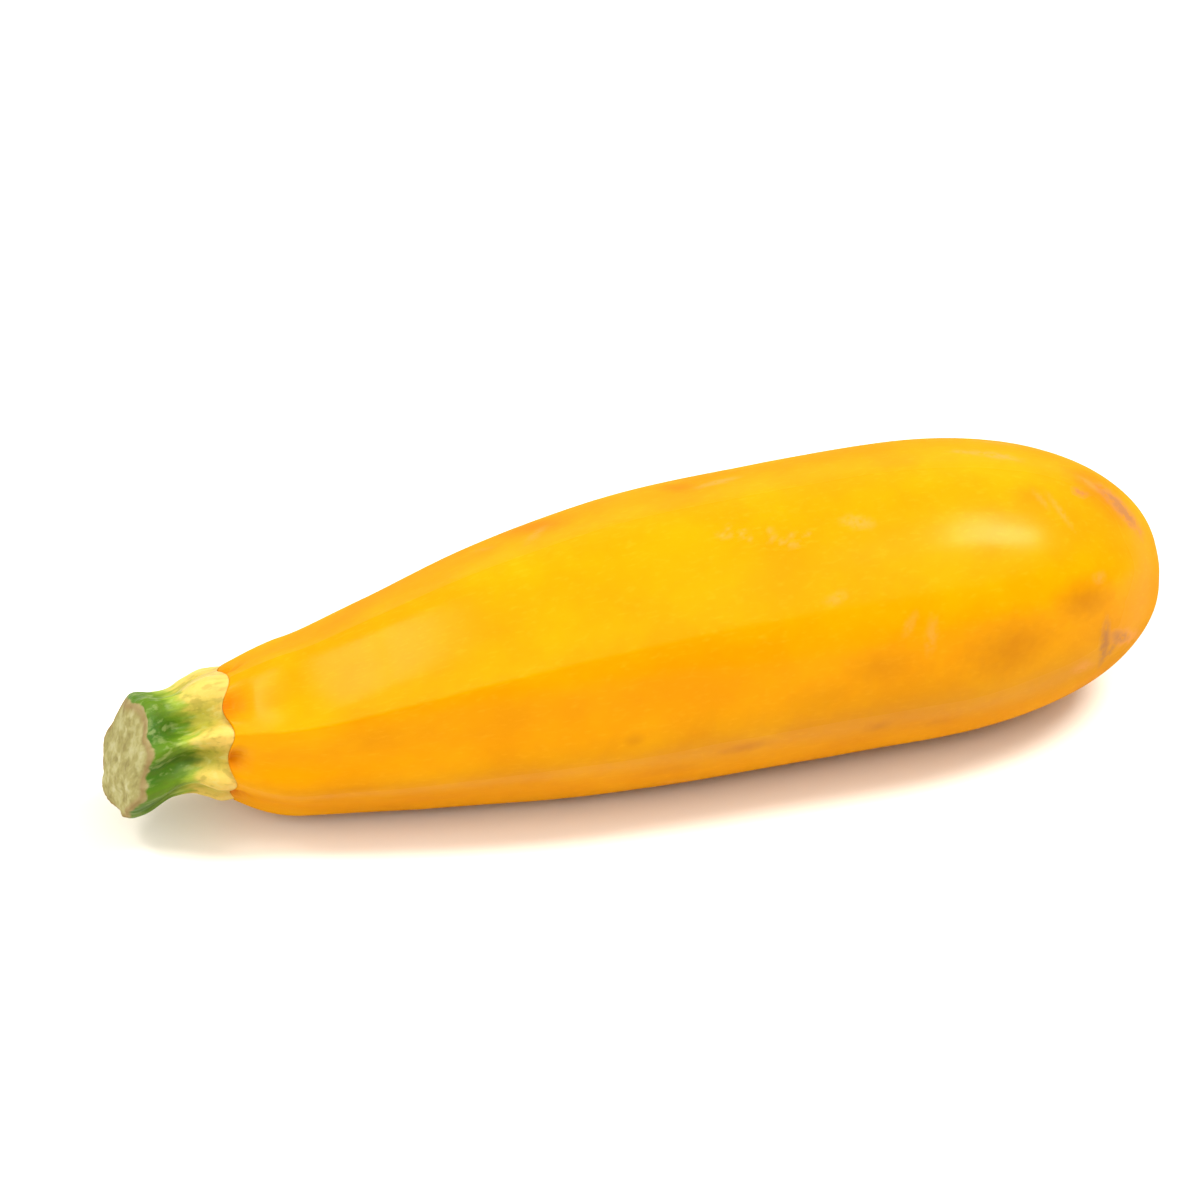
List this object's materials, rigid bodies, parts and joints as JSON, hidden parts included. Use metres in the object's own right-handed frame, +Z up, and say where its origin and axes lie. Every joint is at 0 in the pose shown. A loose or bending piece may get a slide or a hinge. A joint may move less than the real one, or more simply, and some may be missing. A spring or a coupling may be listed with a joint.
{
  "type": "zucchini",
  "caption": "Whole golden-yellow zucchini lying on its side: tapered, softly ridged fruit with a rounded blossom end and a short cut stem.",
  "frame": {"origin": "on the surface that the zucchini lies on, below the middle of its box", "axes": "+X from the stem to the blossom end, along the fruit; +Z up; -Y towards the side that the picture shows"},
  "size_m": [0.1868, 0.054, 0.0517],
  "materials": {
    "skin": "waxy golden-yellow rind, satin gloss",
    "stem": "matte fibrous stalk, yellow at its foot and green towards the dry cut"
  },
  "bodies": {
    "root": {"fruit": "skin", "stem": "stem"}
  },
  "joints": []
}
